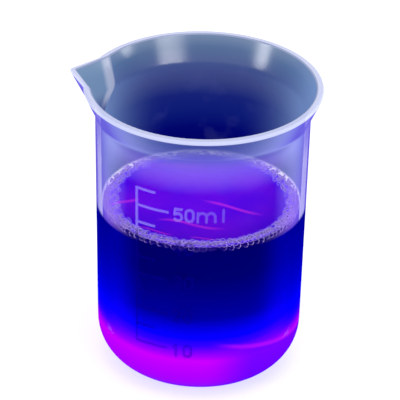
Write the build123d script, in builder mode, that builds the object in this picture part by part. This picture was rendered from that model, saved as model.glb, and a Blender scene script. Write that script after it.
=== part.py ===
"""50 ml moulded beaker with a pouring lip, a raised scale and a charge of liquid, in millimetres.

The origin is the centre of the foot, on the plane that the beaker stands on. +Z is up, the pouring
lip points along -X and the scale faces -Y.
"""
from build123d import *
import os
from math import atan2, cos, degrees, pi, radians, sin, tan

os.makedirs("parts", exist_ok=True)

# ---- driving dimensions -------------------------------------------------------------------------

height = 62.5              # foot to rim
wall = 1.15                # thickness of the side wall
foot_side_radius = 20.65   # outside radius of the wall, carried down to the foot plane
neck_radius = 21.7         # outside radius where the rim starts to flare
rim_radius = 24.05         # outside radius of the rim
flare_height = 5.8         # how far below the rim the flare starts
neck_round = 2.0           # outside radius between wall and flare
rim_edge_round = 0.3       # on both edges of the rim
rim_land = 0.6             # upright band round the outside of the rim
rim_thickening = 0.1       # extra wall at the rim, measured across
base_round = 9.6           # outside radius between wall and foot

foot_recess = 1.4          # underside of the base above the foot plane
dome_rise = 0.35           # further rise of the underside, from the ring to the middle
foot_ring = 1.5            # width of the ring that the beaker stands on
floor_height = 3.4         # inside floor above the foot plane
floor_round = 8.6          # inside radius between wall and floor

lip_reach = 27.75          # pouring lip's tip from the axis
lip_spread = 53.6          # half angle of the lip's plan at the rim, measured from its centre line
lip_spread_low = 64.0      # the same, at the foot of the lip, outside
channel_spread_low = 70.0  # the same, at the foot of the channel inside the lip
lip_height = 11.4          # rim to the foot of the lip, outside
lip_wall = 1.2             # thickness of the lip in plan
lip_nose = 0.9             # outside radius of the tip in plan

relief = 0.28              # how far the scale stands out of the wall
line_width = 0.45          # width of the scale's lines
stem_azimuth = 246.8       # the scale's stem, in degrees from +X
long_mark_arc = 18.3       # degrees of wall under a long mark
short_mark_arc = 10.7      # degrees of wall under a short mark
numeral_azimuth = 273.3    # centre of the two digits
unit_azimuth = 287.5       # centre of the unit
numeral_height = 3.1
numeral_drop = 0.25        # from a mark down to the middle of its numeral
digit_width = 2.0
digit_gap = 0.35
digit_stroke = 0.52
unit_width = 5.6

long_mark_volumes = [10, 20, 30, 40, 50]     # millilitres
short_mark_volumes = [15, 25, 35, 45, 55]
liquid_volume = 39.3       # millilitres
froth_width = 2.4          # of the ring of bubbles against the wall
froth_height = 1.5
liquid_clearance = 0.03    # between the liquid and the wall, so that their faces stay distinct

# ---- worked out from the driving dimensions --------------------------------------------------

neck_height = height - flare_height
taper = (neck_radius - foot_side_radius) / neck_height
foot_outer = foot_side_radius - base_round
foot_inner = foot_outer - foot_ring


def wall_outside(z):
    """Outside radius of the straight wall at a height."""
    return foot_side_radius + taper * z


def wall_inside(z):
    """Inside radius of the straight wall at a height."""
    return wall_outside(z) - wall


def cavity_radius(z):
    """Inside radius at a height, with the round between floor and wall."""
    round_top = floor_height + floor_round
    if z >= round_top:
        return wall_inside(z)
    drop = round_top - z
    return wall_inside(round_top) - floor_round + (floor_round**2 - drop**2) ** 0.5


def level_of(millilitres):
    """Height at which the cavity holds a volume, summed in thin discs."""
    step = 0.02
    z = floor_height
    held = 0.0
    while held < millilitres * 1000:
        held += pi * cavity_radius(z + step / 2) ** 2 * step
        z += step
    return round(z, 2)


mark_levels = {volume: level_of(volume) for volume in long_mark_volumes + short_mark_volumes}
liquid_level = level_of(liquid_volume)
top_mark = max(mark_levels.values())
low_mark = min(mark_levels.values())


def upright_plane(azimuth):
    """Plane through the beaker's axis: its X runs outwards at the azimuth, its Y runs up."""
    a = radians(azimuth)
    return Plane(origin=(0, 0, 0), x_dir=(cos(a), sin(a), 0), z_dir=(sin(a), -cos(a), 0))


# ---- beaker: one moulding ------------------------------------------------------------------------


def lip_section(z, apex, spread, nose):
    """Plan of the pouring lip at a height: a wedge with a rounded nose, open towards the axis."""
    half_width = (apex - lip_back) * tan(radians(spread))
    with BuildSketch(Plane.XY.offset(z)) as plan:
        with BuildLine():
            Polyline((-lip_back, -half_width), (-apex, 0), (-lip_back, half_width), close=True)
        make_face()
        fillet(plan.vertices().sort_by(Axis.X)[0], nose)
    return plan.sketch


nose_setback = lip_nose * (1 / sin(radians(lip_spread)) - 1)
lip_apex = lip_reach + nose_setback              # the wedge's corner before it is rounded
lip_low = height - lip_height
lip_apex_low = wall_outside(lip_low) - 0.3       # starts just under the wall's outside face
lip_back = 17.0                                  # the wedge's back, inside the cavity
channel_apex = lip_apex - lip_wall / sin(radians(lip_spread))
channel_low = lip_low + 2.2                      # foot of the channel inside the lip
channel_apex_low = wall_inside(channel_low) + 0.05  # starts just behind the wall's inside face
channel_nose = 0.35                              # inside radius at the bottom of the channel
cut_above = 2.0                                  # how far the cutting shapes run past the rim
channel_slope = (channel_apex - channel_apex_low) / (height - channel_low)
flare_angle = atan2(rim_radius - neck_radius, flare_height)
flare_inside = rim_radius - wall / cos(flare_angle) - rim_thickening
flare_overrun = (flare_inside - wall_inside(neck_height)) / flare_height * cut_above
ring_lean = 0.4                                  # slope of the foot ring's inner side

with BuildPart() as beaker:
    with BuildSketch(Plane.XZ) as outside:
        with BuildLine():
            Polyline(
                (0, 0),
                (foot_side_radius, 0),
                (neck_radius, neck_height),
                (rim_radius, height - rim_land),
                (rim_radius, height),
                (0, height),
                close=True,
            )
        make_face()
        fillet(outside.vertices().sort_by_distance((foot_side_radius, 0))[0], base_round)
        fillet(outside.vertices().sort_by_distance((neck_radius, neck_height))[0], neck_round)
    revolve(axis=Axis.Z)
    lip_top = lip_section(height, lip_apex, lip_spread, lip_nose)
    lip_foot = lip_section(lip_low, lip_apex_low, lip_spread_low, lip_nose)
    loft([lip_foot, lip_top], ruled=True)

    with BuildSketch(Plane.XZ) as inside:
        with BuildLine():
            Polyline(
                (0, floor_height),
                (wall_inside(floor_height), floor_height),
                (wall_inside(neck_height), neck_height),
                (flare_inside, height),
                (flare_inside + flare_overrun, height + cut_above),
                (0, height + cut_above),
                close=True,
            )
        make_face()
        floor_corner = (wall_inside(floor_height), floor_height)
        fillet(inside.vertices().sort_by_distance(floor_corner)[0], floor_round)
        neck_corner = (wall_inside(neck_height), neck_height)
        fillet(inside.vertices().sort_by_distance(neck_corner)[0], neck_round + wall)
    revolve(axis=Axis.Z, mode=Mode.SUBTRACT)
    channel_top = lip_section(
        height + cut_above, channel_apex + channel_slope * cut_above, lip_spread, channel_nose
    )
    channel_foot = lip_section(channel_low, channel_apex_low, channel_spread_low, channel_nose)
    loft([channel_foot, channel_top], ruled=True, mode=Mode.SUBTRACT)

    with BuildSketch(Plane.XZ) as underside:
        with BuildLine():
            dome_top = (0, foot_recess + dome_rise)
            dome_edge = (foot_inner - ring_lean, foot_recess)
            Polyline(dome_top, (0, 0), (foot_inner, 0), dome_edge)
            TangentArc(dome_top, dome_edge, tangent=(1, 0))
        make_face()
    revolve(axis=Axis.Z, mode=Mode.SUBTRACT)

    rim_edges = beaker.edges().filter_by_position(Axis.Z, height - 0.01, height + 0.01)
    fillet(rim_edges, rim_edge_round)

beaker.part.label = "beaker"
export_step(beaker.part, "parts/beaker.step")

# ---- scale: raised on the outside of the wall ----------------------------------------------------


def relief_strip(bottom, top):
    """Section of a raised line, standing on the slope of the wall between two heights."""
    Polyline(
        (wall_outside(bottom), bottom),
        (wall_outside(bottom) + relief, bottom),
        (wall_outside(top) + relief, top),
        (wall_outside(top), top),
        close=True,
    )


line_arc = degrees(line_width / wall_outside(height / 2))

with BuildPart() as scale_stem:
    with BuildSketch(upright_plane(stem_azimuth - line_arc)):
        with BuildLine():
            relief_strip(low_mark - line_width / 2, top_mark + line_width / 2)
        make_face()
    revolve(axis=Axis.Z, revolution_arc=line_arc)
scale_stem.part.label = "scale_stem"
export_step(scale_stem.part, "parts/scale_stem.step")

with BuildPart() as long_marks:
    for volume in long_mark_volumes:
        with BuildSketch(upright_plane(stem_azimuth)):
            with BuildLine():
                relief_strip(mark_levels[volume] - line_width / 2, mark_levels[volume] + line_width / 2)
            make_face()
        revolve(axis=Axis.Z, revolution_arc=long_mark_arc)
long_marks.part.label = "long_marks"
export_step(long_marks.part, "parts/long_marks.step")

with BuildPart() as short_marks:
    for volume in short_mark_volumes:
        with BuildSketch(upright_plane(stem_azimuth)):
            with BuildLine():
                relief_strip(mark_levels[volume] - line_width / 2, mark_levels[volume] + line_width / 2)
            make_face()
        revolve(axis=Axis.Z, revolution_arc=short_mark_arc)
short_marks.part.label = "short_marks"
export_step(short_marks.part, "parts/short_marks.step")

# ---- numerals and unit: strokes of one width, laid on the wall ------------------------------------

half_stroke = digit_stroke / 2
glyph_height = numeral_height - digit_stroke     # between the strokes' middle lines
glyph_width = digit_width - digit_stroke
bend = glyph_width / 2                           # radius of the round strokes


def stroke(*points):
    """Straight strokes through a list of points, with round joints."""
    for start, end in zip(points, points[1:]):
        with BuildLine() as path:
            Line(start, end)
        trace(path.line, line_width=digit_stroke)
    with Locations(*points):
        Circle(half_stroke)


def arc_stroke(centre, radius, start, turn):
    """Round stroke about a centre, from a start angle through a turn, with round ends."""
    with BuildLine() as path:
        CenterArc(centre, radius, start, turn)
    trace(path.line, line_width=digit_stroke)
    with Locations(path.line @ 0, path.line @ 1):
        Circle(half_stroke)


def draw_0(x, y):
    stroke((x, y + bend), (x, y + glyph_height - bend))
    stroke((x + glyph_width, y + bend), (x + glyph_width, y + glyph_height - bend))
    arc_stroke((x + bend, y + glyph_height - bend), bend, 0, 180)
    arc_stroke((x + bend, y + bend), bend, 180, 180)


def draw_1(x, y):
    middle = x + bend
    flag = 0.55                                  # of the short stroke at the top
    stroke((middle - flag, y + glyph_height - flag), (middle, y + glyph_height), (middle, y))


def draw_2(x, y):
    centre = (x + bend, y + glyph_height - bend)
    arc_stroke(centre, bend, 170, -200)
    end = (centre[0] + bend * cos(radians(30)), centre[1] - bend * sin(radians(30)))
    stroke(end, (x, y), (x + glyph_width, y))


def draw_3(x, y):
    bowl = glyph_height / 4
    arc_stroke((x + bend, y + 3 * bowl), bowl, 150, -240)
    arc_stroke((x + bend, y + bowl), bowl, 90, -240)


def draw_4(x, y):
    upright = x + glyph_width * 0.72
    bar = y + glyph_height * 0.3
    stroke((upright, y), (upright, y + glyph_height), (x, bar), (x + glyph_width, bar))


def draw_5(x, y):
    bowl = glyph_height * 0.31
    corner = (x + 0.08, y + glyph_height * 0.52)
    stroke((x + glyph_width, y + glyph_height), (x + 0.2, y + glyph_height), corner)
    arc_stroke((x + bend, y + bowl), bowl, 130, -270)


draw_tens = {10: draw_1, 20: draw_2, 30: draw_3, 40: draw_4, 50: draw_5}


def wall_skin(bottom, top):
    """Thin shell of the relief's thickness on the wall, in the part being built."""
    with BuildSketch(Plane.XZ) as section:
        with BuildLine():
            relief_strip(bottom, top)
        make_face()
    return section.sketch


def facing_plane(azimuth, z):
    """Plane on the wall's inside that faces outwards at an azimuth, centred on a height."""
    a = radians(azimuth)
    start = foot_side_radius - 3.0
    return Plane(
        origin=(start * cos(a), start * sin(a), z), x_dir=(-sin(a), cos(a), 0), z_dir=(cos(a), sin(a), 0)
    )


skin_margin = 1.0                                # of the shell above and below a numeral
glyph_depth = 6.0                                # from inside the wall to past the relief
for volume in long_mark_volumes:
    level = mark_levels[volume] - numeral_drop
    name = f"numeral_{volume}"
    with BuildPart() as numeral:
        bottom = level - numeral_height / 2 - skin_margin
        add(wall_skin(bottom, bottom + numeral_height + 2 * skin_margin))
        revolve(axis=Axis.Z)
        with BuildSketch(facing_plane(numeral_azimuth, level)):
            left = -(2 * digit_width + digit_gap) / 2 + half_stroke
            draw_tens[volume](left, -glyph_height / 2)
            draw_0(left + digit_width + digit_gap, -glyph_height / 2)
        extrude(amount=glyph_depth, mode=Mode.INTERSECT)
    numeral.part.label = name
    export_step(numeral.part, f"parts/{name}.step")

with BuildPart() as unit_ml:
    level = mark_levels[50] - numeral_drop
    bottom = level - numeral_height / 2 - skin_margin
    add(wall_skin(bottom, bottom + numeral_height + 2 * skin_margin))
    revolve(axis=Axis.Z)
    with BuildSketch(facing_plane(unit_azimuth, level)):
        foot = -glyph_height / 2
        left = -unit_width / 2 + half_stroke
        arch = 0.86                              # radius of each arch of the m
        m_top = foot + glyph_height * 0.78
        stroke((left, foot), (left, m_top))
        for leg in (1, 2):
            right = left + 2 * arch * leg
            stroke((right, foot), (right, m_top - arch))
            arc_stroke((right - arch, m_top - arch), arch, 0, 180)
        stroke((unit_width / 2 - half_stroke, foot), (unit_width / 2 - half_stroke, foot + glyph_height))
    extrude(amount=glyph_depth, mode=Mode.INTERSECT)
unit_ml.part.label = "unit_ml"
export_step(unit_ml.part, "parts/unit_ml.step")

# ---- gate mark: where the plastic entered the mould ---------------------------------------------

gate_nub_radius = 0.7
gate_height = 0.35
gate_level = foot_recess + dome_rise             # the underside's highest point

with BuildPart() as gate_mark:
    with BuildSketch(Plane.XY.offset(gate_level - gate_height)):
        Circle(gate_nub_radius)
    extrude(amount=gate_height)
gate_mark.part.label = "gate_mark"
export_step(gate_mark.part, "parts/gate_mark.step")

# ---- liquid: fills the cavity to its level -------------------------------------------------------

with BuildPart() as liquid:
    with BuildSketch(Plane.XZ) as pool:
        with BuildLine():
            low = floor_height + liquid_clearance
            Polyline(
                (0, low),
                (wall_inside(low) - liquid_clearance, low),
                (wall_inside(liquid_level) - liquid_clearance, liquid_level),
                (0, liquid_level),
                close=True,
            )
        make_face()
        pool_corner = (wall_inside(low) - liquid_clearance, low)
        fillet(pool.vertices().sort_by_distance(pool_corner)[0], floor_round)
    revolve(axis=Axis.Z)
liquid.part.label = "liquid"
export_step(liquid.part, "parts/liquid.step")

# ---- froth: the ring of bubbles that floats against the wall -------------------------------------

with BuildPart() as foam_ring:
    with BuildSketch(Plane.XZ):
        with BuildLine():
            froth_top = liquid_level + froth_height
            Polyline(
                (wall_inside(liquid_level) - liquid_clearance, liquid_level),
                (wall_inside(froth_top) - liquid_clearance, froth_top),
                (wall_inside(froth_top) - froth_width * 0.55, froth_top),
                (wall_inside(liquid_level) - froth_width, liquid_level),
                close=True,
            )
        make_face()
    revolve(axis=Axis.Z)
foam_ring.part.label = "foam_ring"
export_step(foam_ring.part, "parts/foam_ring.step")
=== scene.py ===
import math
import random

import bmesh
import bpy
from mathutils import Matrix, Vector


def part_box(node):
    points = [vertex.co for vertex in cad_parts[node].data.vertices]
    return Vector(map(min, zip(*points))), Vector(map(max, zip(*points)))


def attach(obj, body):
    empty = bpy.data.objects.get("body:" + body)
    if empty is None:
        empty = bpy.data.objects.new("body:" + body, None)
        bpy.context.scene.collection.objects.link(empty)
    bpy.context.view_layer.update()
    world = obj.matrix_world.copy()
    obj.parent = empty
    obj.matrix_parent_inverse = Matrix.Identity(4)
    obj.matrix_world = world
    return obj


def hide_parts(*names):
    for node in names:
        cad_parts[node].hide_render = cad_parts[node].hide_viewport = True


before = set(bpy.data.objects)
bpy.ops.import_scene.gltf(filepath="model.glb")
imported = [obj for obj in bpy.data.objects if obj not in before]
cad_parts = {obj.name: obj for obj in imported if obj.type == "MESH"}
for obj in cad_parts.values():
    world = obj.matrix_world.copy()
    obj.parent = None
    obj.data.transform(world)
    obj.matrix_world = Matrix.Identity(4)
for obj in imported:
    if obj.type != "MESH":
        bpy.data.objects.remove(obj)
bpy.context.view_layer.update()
scene = bpy.context.scene
scene.view_settings.view_transform = "Standard"

# ---- beaker -------------------------------------------------------------------------------------
# One polypropylene moulding: a thin milky wall, a thick base and a flared rim with a pouring lip.
# Looked at from outside the wall is a lavender haze, denser towards its outline and under the rim,
# where painted shade darkens it. Looked at from inside it is painted with its shading: a deep blue
# that pales with painted light towards the rim.


class Value:
    """A number that changes over a surface. Arithmetic on it adds Math nodes to the finish."""

    def __init__(self, finish, socket):
        self.finish = finish
        self.socket = socket

    def math(self, operation, *others):
        return self.finish.node("ShaderNodeMath", {"operation": operation}, [self, *others])[0]

    def __add__(self, other):
        return self.math("ADD", other)

    def __sub__(self, other):
        return self.math("SUBTRACT", other)

    def __rsub__(self, other):
        return self * -1.0 + other

    def __mul__(self, other):
        return self.math("MULTIPLY", other)

    def __pow__(self, power):
        return self.math("POWER", power)

    __radd__ = __add__
    __rmul__ = __mul__

    def size(self):
        """The number without its sign."""
        return self.math("ABSOLUTE")

    def limit(self, low, high):
        return self.math("MAXIMUM", low).math("MINIMUM", high)

    def step(self, low, high):
        """Smooth rise from 0 to 1 between two values."""
        inputs = {"Value": self, "From Min": low, "From Max": high}
        return self.finish.node("ShaderNodeMapRange", {"interpolation_type": "SMOOTHSTEP"}, inputs)[0]

    def fall(self, low, high):
        """Smooth fall from 1 to 0 between two values."""
        return 1.0 - self.step(low, high)


class Finish:
    """A material built from nodes. node() adds any node and gives its output sockets."""

    def __init__(self, name):
        self.material = bpy.data.materials.new(name)
        self.material.use_nodes = True
        self.tree = self.material.node_tree
        self.tree.nodes.clear()

    def node(self, kind, settings=None, inputs=()):
        node = self.tree.nodes.new(kind)
        for name, setting in (settings or {}).items():
            if name == "stops":
                self.set_stops(node.color_ramp, setting)
            else:
                setattr(node, name, setting)
        named = inputs.items() if isinstance(inputs, dict) else enumerate(inputs)
        for name, value in named:
            self.feed(node.inputs[name], value)
        return Outputs(self, node)

    def feed(self, socket, value):
        """Link a changing value to a socket, or set a constant on it."""
        if isinstance(value, Value):
            self.tree.links.new(value.socket, socket)
        else:
            socket.default_value = value

    def set_stops(self, ramp, stops):
        while len(ramp.elements) < len(stops):
            ramp.elements.new(1.0)
        for element, (place, colour) in zip(ramp.elements, stops):
            element.position = place
            element.color = colour

    def ramp(self, value, stops):
        """Colour along a value, from stops given as (place, colour)."""
        return self.node("ShaderNodeValToRGB", {"stops": stops}, [value])["Color"]

    def mix(self, share, low, high):
        """Colour between two colours."""
        node = self.node("ShaderNodeMix", {"data_type": "RGBA"}, {"Factor": share}).node
        for name, value in (("A", low), ("B", high)):
            self.feed(next(s for s in node.inputs if s.name == name and s.type == "RGBA"), value)
        return Value(self, next(s for s in node.outputs if s.type == "RGBA"))

    def vector(self, operation, *vectors):
        return self.node("ShaderNodeVectorMath", {"operation": operation}, vectors)

    def place(self):
        """The surface point's coordinates on the object, in metres."""
        return self.node("ShaderNodeTexCoord")["Object"]

    def split(self, point):
        """A point's three coordinates in millimetres."""
        axes = self.node("ShaderNodeSeparateXYZ", None, [point])
        return [axes[axis] * (1 / MM) for axis in range(3)]

    def slant(self):
        """How far the surface turns from face on, 0, to edge on, 1."""
        return self.node("ShaderNodeLayerWeight", None, {"Blend": 0.5})["Facing"]

    def noise(self, point, scale, detail):
        inputs = {"Vector": point, "Scale": scale, "Detail": detail}
        return self.node("ShaderNodeTexNoise", None, inputs)["Fac"]

    def bump(self, height, strength, depth):
        inputs = {"Strength": strength, "Distance": depth, "Height": height}
        return self.node("ShaderNodeBump", None, inputs)["Normal"]

    def plastic(self, inputs):
        """Finish with one Principled surface."""
        surface = self.node("ShaderNodeBsdfPrincipled", None, inputs)
        self.node("ShaderNodeOutputMaterial", None, [surface["BSDF"]])
        return self.material


class Outputs:
    """A node's outputs, by name or number."""

    def __init__(self, finish, node):
        self.finish = finish
        self.node = node

    def __getitem__(self, key):
        return Value(self.finish, self.node.outputs[key])


def tint(red, green, blue):
    """Screen colour, 0 to 255, as the linear colour that shaders take."""
    shares = [channel / 255 for channel in (red, green, blue)]
    linear = [((c + 0.055) / 1.055) ** 2.4 if c > 0.04 else c / 12.92 for c in shares]
    return (*linear, 1.0)


MM = 0.001
liquid_low, liquid_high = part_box("liquid")
liquid_level = liquid_high[2]
rim_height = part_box("beaker")[1][2]
level_mm = liquid_level / MM
rim_mm = rim_height / MM
scale_side = math.radians(282.3)        # the side that carries the scale, round the axis


def heights(*stops):
    """Colour stops at heights in millimetres, as shares of the beaker's height."""
    return [(height / rim_mm, tint(*colour)) for height, colour in stops]


def across_scale(x, y):
    """Distance to the right of the axis, for someone who faces the scale."""
    return x * -math.sin(scale_side) + y * math.cos(scale_side)


def give_finish(name, material):
    """Put one material on a CAD node."""
    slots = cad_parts[name].data.materials
    slots.clear()
    slots.append(material)


pp = Finish("milky_polypropylene")
point = pp.place()
x, y, z = pp.split(point)
share_up = z * (1 / rim_mm)
flat_point = pp.vector("MULTIPLY", point, (1.0, 1.0, 0.0))[0]
axis_distance = pp.vector("LENGTH", flat_point)["Value"] * (1 / MM)
outwards = pp.vector("NORMALIZE", flat_point)[0]
normal = pp.node("ShaderNodeTexCoord")["Normal"]
inside = pp.vector("DOT_PRODUCT", normal, outwards)["Value"].fall(-0.15, -0.05)
slant = pp.slant()
behind = pp.node("ShaderNodeNewGeometry")["Backfacing"]
dry = z.step(level_mm - 0.5, level_mm + 0.7)
cloud = pp.noise(point, 160.0, 3.0)

# The outside, dry: haze, paler at the sides and violet at the very outline, and darker just under
# the rim with painted shade.
haze_colour = pp.ramp(share_up, heights(
    (37, (150, 118, 238)), (50, (160, 124, 248)), (54, (132, 104, 226)), (57, (92, 94, 184)),
    (60.5, (62, 74, 152)),
))
side_haze = pp.ramp(share_up, heights(
    (38, (158, 112, 250)), (44, (156, 124, 248)), (52, (150, 146, 232)), (59, (146, 158, 220)),
))
side_slant = slant - z.step(54.5, 58.5) * 0.16
haze_colour = pp.mix(side_slant.step(0.22, 0.55), haze_colour, side_haze)
haze_colour = pp.mix(slant.step(0.5, 0.8), haze_colour, tint(86, 72, 198))

# The outside, wet: the liquid's colours, with the painted magenta light from below at the base, fill
# the wall's thickness, with a painted tilted line of light.
wet_colour = pp.ramp(share_up, heights(
    (0.5, (96, 44, 214)), (2.5, (124, 18, 230)), (4.5, (150, 4, 250)), (6.4, (158, 0, 253)),
    (8.8, (168, 0, 253)), (10.4, (180, 0, 253)), (11.8, (126, 0, 252)), (13.2, (56, 0, 248)),
    (14.6, (18, 0, 242)), (16.5, (2, 0, 232)), (20, (0, 0, 200)), (24, (0, 0, 172)),
    (29, (0, 0, 148)), (36, (0, 0, 130)),
))
line_height = 15.1
line_tilt = 0.235
across = across_scale(x, y)
tilted = z + across * line_tilt
bluer = across.step(1, 12) * tilted.fall(line_height - 0.6, line_height + 0.5)
wet_colour = pp.mix(bluer * 0.85, wet_colour, tint(84, 2, 248))
light_line = (tilted - line_height).size().fall(0.1, 0.8) * across.step(2, 8)
wet_colour = pp.mix(light_line * 0.75, wet_colour, tint(158, 14, 253))
outer_colour = pp.mix(dry, wet_colour, haze_colour)

# How much of what lies behind the outside hides: the haze above, the liquid's colours below.
under_rim = z.step(48.5, 58) * 0.78
outline_haze = ((side_slant - 0.38) * 2.0).limit(0.0, 0.72)
haze = 1.0 - (1.0 - under_rim) * (1.0 - outline_haze)
haze = (haze + (cloud - 0.5) * 0.1).limit(0.01, 0.9).math("MAXIMUM", slant.step(0.68, 0.88) * 0.97)
base = z.fall(10.5, 17)
wet = slant.step(0.25, 0.66).math("MAXIMUM", base).math("MAXIMUM", light_line * 0.8)
outer_alpha = haze * dry + wet * (1.0 - dry)

# The inside, painted with light and shade: deep blue in painted shade low down, paler with painted
# light on the flare and at the sides.
inner_colour = pp.ramp(share_up, heights(
    (38, (0, 0, 98)), (42.2, (2, 7, 114)), (46, (14, 30, 124)), (49.7, (24, 38, 126)),
    (53.5, (62, 74, 138)), (57, (72, 90, 148)), (60, (76, 106, 152)), (62, (108, 132, 168)),
))
inner_colour = pp.mix(slant.step(0.16, 0.78) * 0.78, inner_colour, tint(124, 154, 208))
inner_colour = pp.mix(cloud.step(0.52, 0.72) * 0.09, inner_colour, tint(96, 104, 176))

# A painted highlight on the soft edge where the pouring channel leaves the wall, placed by an angle
# round the axis from the lip. It opens fast from the channel's foot and is then nearly upright. Angles
# are per millimetre of height, and the two radii are the inside of the wall and of the flare.
channel_foot = 53.2
corner_blend = 0.12
turn = y.size().math("ARCTAN2", x * -1.0)
upright_edge = z * math.radians(0.5) - math.radians(12.9)
slanted_edge = (z - channel_foot) * math.radians(4.6)
from_edge = turn - upright_edge.math("SMOOTH_MIN", slanted_edge, corner_blend)
wall_radius = z * 0.0185 + 19.5
flare_radius = z * 0.3724 - 0.565
beyond_wall = (axis_distance - wall_radius.math("MAXIMUM", flare_radius)).step(0.3, 0.8)
crease_highlight = from_edge.fall(0.012, 0.05) * (1.0 - beyond_wall) * z.step(53.5, 56)
in_channel = from_edge.fall(-0.04, 0.0) * z.step(54, 57)
inner_colour = pp.mix(in_channel * 0.7, inner_colour, tint(116, 150, 190))
# Painted highlight along the crease.
inner_colour = pp.mix(crease_highlight * 0.85, inner_colour, tint(176, 186, 216))

# The rim: a flat top land and a rounded outer band, both denser than the wall and paler with painted
# light.
top_land = z.step(rim_mm - 0.32, rim_mm - 0.12)
rim_band = z.step(rim_mm - 1.0, rim_mm - 0.75) * (1.0 - inside)
colour = pp.mix(inside, outer_colour, inner_colour)
colour = pp.mix(top_land, colour, tint(150, 162, 200))
colour = pp.mix(rim_band * 0.9, colour, tint(198, 203, 236))
alpha = outer_alpha * (1.0 - inside) + dry * inside
alpha = alpha.math("MAXIMUM", rim_band * 0.92).math("MAXIMUM", top_land * 0.85)

# The inside faces glow with their colour: painted light that stands in for the light reaching the
# shaded inside.
black = tint(0, 0, 0)
polypropylene = pp.plastic({
    "Base Color": pp.mix(inside * 0.8, colour, black),
    "Roughness": cloud * 0.12 + 0.24,
    "Specular IOR Level": 0.0,
    "Coat Weight": z.step(52, 58) * (inside * 0.85 + 0.08),
    "Coat Roughness": 0.2,
    "Alpha": alpha * (1.0 - behind),
    "Emission Color": pp.mix(inside, black, colour),
    "Emission Strength": 0.75,
    "Normal": pp.bump(pp.noise(point, 900.0, 2.0), 0.04, 0.2 * MM),
})
give_finish("beaker", polypropylene)

# ---- scale --------------------------------------------------------------------------------------
# Stem, marks, numerals and unit, raised on the outside of the wall by the mould.
# Over the dry wall they catch the light, and over the liquid they are all but lost.

relief = Finish("raised_scale")
x, _, z = relief.split(relief.place())
dry = z.step(level_mm + 1.8, level_mm + 3.0)
along = x.step(-9, 9)
raised_scale = relief.plastic({
    "Base Color": relief.mix(dry, tint(6, 0, 130), tint(154, 130, 244)),
    "Roughness": 0.35,
    "Specular IOR Level": 0.0,
    "Alpha": dry * (0.13 - along * 0.22) + 0.2,
})
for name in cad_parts:
    if name.startswith(("numeral", "scale", "unit", "long", "short")):
        give_finish(name, raised_scale)

# ---- gate mark ----------------------------------------------------------------------------------
# The nub left in the recess of the base where the plastic entered the mould.
# It is part of the same moulding, and has its finish.

give_finish("gate_mark", polypropylene)

# ---- liquid -------------------------------------------------------------------------------------
# About 39 ml of clear violet-blue liquid, drawn in at its top edge where the bubbles crowd.
# Light from below turns it magenta at the base, and its depth turns it dark blue above.

wall_gap = 0.09 * MM
bottom_radius = 19.5 * MM
floor_round = 8.6 * MM
round_steps = 12
edge_drop = 1.2 * MM
edge_width = 1.6 * MM
spin_steps = 128
liquid_radius = liquid_high[0] - wall_gap


def finished(name, builder):
    """Turn a bmesh into an object with smooth faces that rides on the part."""
    mesh = bpy.data.meshes.new(name)
    builder.to_mesh(mesh)
    builder.free()
    for face in mesh.polygons:
        face.use_smooth = True
    piece = bpy.data.objects.new(name, mesh)
    scene.collection.objects.link(piece)
    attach(piece, "root")
    return piece


# The outline from the middle of the bottom, round the corner, up the wall and over the drawn-in edge
# to the middle of the surface, as (radius, height).
outline = [(0.0, liquid_low[2]), (bottom_radius - floor_round, liquid_low[2])]
round_radius = bottom_radius - floor_round + 0.1 * MM
round_height = liquid_low[2] + floor_round
for step in range(1, round_steps + 1):
    angle = math.radians(90 * step / round_steps)
    outline.append((
        round_radius + floor_round * math.sin(angle),
        round_height - floor_round * math.cos(angle),
    ))
outline.append((liquid_radius - 0.01 * MM, liquid_level - edge_drop - 0.3 * MM))
outline.append((liquid_radius, liquid_level - edge_drop))
for inset, drop in ((0.3, 0.9), (0.6, 0.5), (1.0, 0.2)):
    outline.append((liquid_radius - inset * MM, liquid_level - drop * MM))
for share in (1.0, 0.75, 0.5, 0.25, 0.0):
    outline.append(((liquid_radius - edge_width) * share, liquid_level))

builder = bmesh.new()
corners = [builder.verts.new((radius, 0.0, height)) for radius, height in outline]
edges = [builder.edges.new(pair) for pair in zip(corners, corners[1:])]
bmesh.ops.spin(
    builder, geom=corners + edges, cent=(0, 0, 0), axis=(0, 0, 1), angle=math.tau, steps=spin_steps,
    use_merge=True,
)
bmesh.ops.remove_doubles(builder, verts=builder.verts, dist=0.001 * MM)
bmesh.ops.recalc_face_normals(builder, faces=builder.faces)
liquid = finished("liquid_charge", builder)
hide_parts("liquid")

dye = Finish("violet_blue_liquid")
point = dye.place()
x, y, z = dye.split(point)
share_up = z * (1 / rim_mm)
depth_colour = dye.ramp(share_up, heights(
    (3, (120, 16, 226)), (6.6, (157, 0, 253)), (8.5, (166, 0, 253)), (10.4, (183, 0, 253)),
    (11.8, (130, 0, 253)), (13.2, (50, 0, 248)), (14.8, (4, 0, 228)), (19.8, (0, 0, 136)),
    (23.5, (0, 0, 119)), (29.2, (0, 0, 92)), (35, (0, 0, 87)),
))
side_colour = dye.ramp(share_up, heights(
    (6, (176, 20, 250)), (11, (110, 0, 250)), (15, (20, 0, 240)), (22, (0, 0, 195)), (30, (0, 0, 156)),
))
body_colour = dye.mix(dye.slant().step(0.3, 0.7), depth_colour, side_colour)

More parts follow.
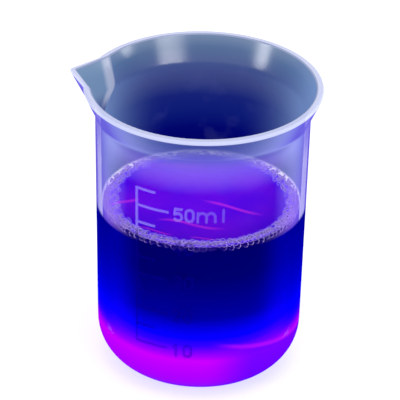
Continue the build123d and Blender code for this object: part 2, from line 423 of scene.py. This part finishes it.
# Curved magenta glints on the surface. Each has its middle, across the scale and towards it, its half
# length, its half width, its slope and the height of its wave, in millimetres.
glints = (
    (-5.0, -13.5, 6.5, 0.35, 0.02, 0.2), (6.5, 3.6, 7.0, 0.9, 0.38, 0.5),
    (-2.0, 10.6, 8.0, 0.75, 0.16, 0.9), (-15.5, 2.0, 3.5, 0.9, -0.5, 0.3),
    (0.5, 16.2, 3.4, 0.45, 0.1, 0.2), (-9.0, 13.6, 4.0, 0.5, 0.45, 0.2),
)
across = across_scale(x, y)
towards = x * math.cos(scale_side) + y * math.sin(scale_side)
glow = 0.0
for middle_across, middle_towards, half_length, half_width, slope, wave in glints:
    along = (across - middle_across) * (1 / half_length)
    curve = along * (slope * half_length) + (along * 3.0).math("SINE") * wave
    from_line = (towards - middle_towards - curve).size()
    glow = from_line.fall(0.0, half_width) * along.size().fall(0.35, 1.0) + glow
swirl = dye.noise(point, 90.0, 2.0)
from_axis = (x * x + y * y) ** 0.5
surface_colour = dye.mix(swirl.step(0.35, 0.7), tint(96, 0, 254), tint(122, 6, 255))
surface_colour = dye.mix(from_axis.step(14, 19) * 0.4, surface_colour, tint(84, 8, 230))
surface_colour = dye.mix(glow.limit(0.0, 0.9), surface_colour, tint(206, 40, 253))
colour = dye.mix(z.step(level_mm - 0.45, level_mm - 0.2), body_colour, surface_colour)
liquid.data.materials.append(dye.plastic({
    "Base Color": colour,
    "Roughness": 0.15,
    "Specular IOR Level": 0.0,
    # A faint glow of the liquid's own colour: painted light.
    "Emission Color": colour,
    "Emission Strength": 0.1,
    "Normal": dye.bump(swirl, 0.3, 0.4 * MM),
}))

# ---- froth --------------------------------------------------------------------------------------
# Bubbles that float in a ring against the wall: fine froth all round, and rows of larger bubbles that
# grow towards the front. Each is a thin wet film, clear in the middle and bright at its edge.

rng = random.Random(40)
froth_outer = liquid_high[0] - 0.03 * MM
front_azimuth = math.radians(292)
fine_count = 2000


def bubble_mould(segments, rings):
    """A single bubble of radius 1, to be copied."""
    mould = bmesh.new()
    bmesh.ops.create_uvsphere(mould, u_segments=segments, v_segments=rings, radius=1.0)
    return mould


def add_bubble(builder, mould, azimuth, radius, inset, lift):
    """Copy the mould into the froth, an inset from the wall and a lift above the liquid."""
    reach = froth_outer - radius - inset
    centre = Vector((reach * math.cos(azimuth), reach * math.sin(azimuth), liquid_level + lift))
    single = mould.copy()
    single.transform(
        Matrix.Translation(centre) @ Matrix.Rotation(rng.random(), 4, "Z")
        @ Matrix.Diagonal((radius, radius, radius * rng.uniform(0.8, 0.98), 1.0))
    )
    single.to_mesh(copy_mesh)
    single.free()
    builder.from_mesh(copy_mesh)


def facing_front(azimuth):
    """1 at the front, falling to 0 at the sides and the back."""
    return max(0.0, math.cos(azimuth - front_azimuth))


copy_mesh = bpy.data.meshes.new("bubble_copy")
small_mould = bubble_mould(8, 5)
fine = bmesh.new()
for _ in range(fine_count):
    azimuth = rng.uniform(0, math.tau)
    front = facing_front(azimuth)
    radius = rng.uniform(0.15, 0.38) * MM
    inset = rng.random() ** 1.4 * (3.0 - 2.2 * front) + 0.9 * front * front
    lift = rng.uniform(min(0.0, inset - 1.0), 0.75 - 0.35 * front)
    add_bubble(fine, small_mould, azimuth, radius, inset * MM, lift * MM)
fine_froth = finished("fine_froth", fine)

# Three rows of larger bubbles, each with its lift, its size and its inset.
large_mould = bubble_mould(10, 6)
large = bmesh.new()
for row_lift, row_size, row_inset in ((-0.6, 1.0, 0.0), (0.2, 0.62, 0.1), (0.35, 0.7, 0.9)):
    azimuth = rng.random()
    last = azimuth + math.tau
    while azimuth < last:
        front = facing_front(azimuth) ** 2
        radius = rng.uniform(0.34 + 0.24 * front, 0.5 + 0.56 * front) * row_size * MM
        lift = (row_lift + rng.uniform(-0.15, 0.15)) * MM
        inset = (row_inset + rng.uniform(0, 0.15)) * MM
        add_bubble(large, large_mould, azimuth, radius, inset, lift)
        azimuth += 2.0 * radius / froth_outer * rng.uniform(0.88, 1.2)
large_bubbles = finished("large_bubbles", large)
bpy.data.meshes.remove(copy_mesh)

film = Finish("wet_bubble_film")
edge = film.slant().step(0.38, 0.88)
bubble_film = film.plastic({
    "Base Color": film.mix(edge, tint(96, 40, 245), tint(228, 200, 255)),
    "Roughness": 0.06,
    "Specular IOR Level": 0.8,
    "Alpha": edge * 0.82 + 0.06,
    # The film glows with its colour, brightest at the edge: painted light that lifts the bubbles out of the
    # beaker's shade.
    "Emission Color": film.mix(edge, tint(30, 0, 150), tint(214, 186, 250)),
    "Emission Strength": 0.6,
})
for piece in (fine_froth, large_bubbles):
    piece.data.materials.append(bubble_film)
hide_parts("foam_ring")

# ---- floor, light and camera ---------------------------------------------------------------------
# A pale floor that runs out of view, a soft sky, window-like lights low in front that the inside of
# the rim mirrors, and a long lens that looks down at the side of the beaker with the scale.

white = (1.0, 1.0, 1.0, 1.0)
floor_reach = 3.0

builder = bmesh.new()
bmesh.ops.create_grid(builder, x_segments=1, y_segments=1, size=floor_reach)
floor_mesh = bpy.data.meshes.new("floor")
builder.to_mesh(floor_mesh)
builder.free()
floor = bpy.data.objects.new("floor", floor_mesh)
scene.collection.objects.link(floor)
pale = Finish("pale_floor")
floor_mesh.materials.append(pale.plastic({
    "Base Color": (0.5, 0.5, 0.505, 1.0),
    "Roughness": 0.8,
    "Emission Color": white,
    "Emission Strength": 0.62,
}))

world = bpy.data.worlds.new("soft_sky")
world.use_nodes = True
sky = world.node_tree.nodes["Background"]
sky.inputs["Color"].default_value = white
sky.inputs["Strength"].default_value = 0.82
scene.world = world

middle = Vector((0.0, 0.0, rim_height / 2))


def direction(azimuth, elevation):
    """Unit vector from the beaker, from two angles in degrees."""
    around, up = math.radians(azimuth), math.radians(elevation)
    return Vector((math.cos(around) * math.cos(up), math.sin(around) * math.cos(up), math.sin(up)))


def window_light(name, azimuth, elevation, distance, width, height, power):
    """A soft oval light that faces the beaker, in degrees, metres and watts."""
    data = bpy.data.lights.new(name, "AREA")
    data.shape = "ELLIPSE"
    data.size = width
    data.size_y = height
    data.energy = power
    light = bpy.data.objects.new(name, data)
    away = direction(azimuth, elevation)
    light.location = middle + away * distance
    light.rotation_euler = (-away).to_track_quat("-Z", "Y").to_euler()
    scene.collection.objects.link(light)


window_light("overhead", 300, 70, 0.8, 0.5, 0.5, 1.5)
window_light("window_right", 317, 13.6, 0.6, 0.34, 0.045, 0.7)
window_light("window_left", 221, 8.5, 0.6, 0.18, 0.06, 0.9)
window_light("window_side", 5, 4.5, 0.6, 0.16, 0.05, 0.6)

camera_distance = 0.7677
camera_roll = math.radians(1.264)
toward_camera = direction(282.3, 29.69)
lens = bpy.data.cameras.new("camera")
lens.sensor_width = 36.0
lens.lens = 338.75
lens.shift_x = -0.0018
lens.shift_y = 0.0518
camera = bpy.data.objects.new("camera", lens)
aim = toward_camera.to_track_quat("Z", "Y").to_matrix().to_4x4()
camera.matrix_world = (
    Matrix.Translation(middle + toward_camera * camera_distance) @ aim @ Matrix.Rotation(camera_roll, 4, "Z")
)
scene.collection.objects.link(camera)
scene.camera = camera
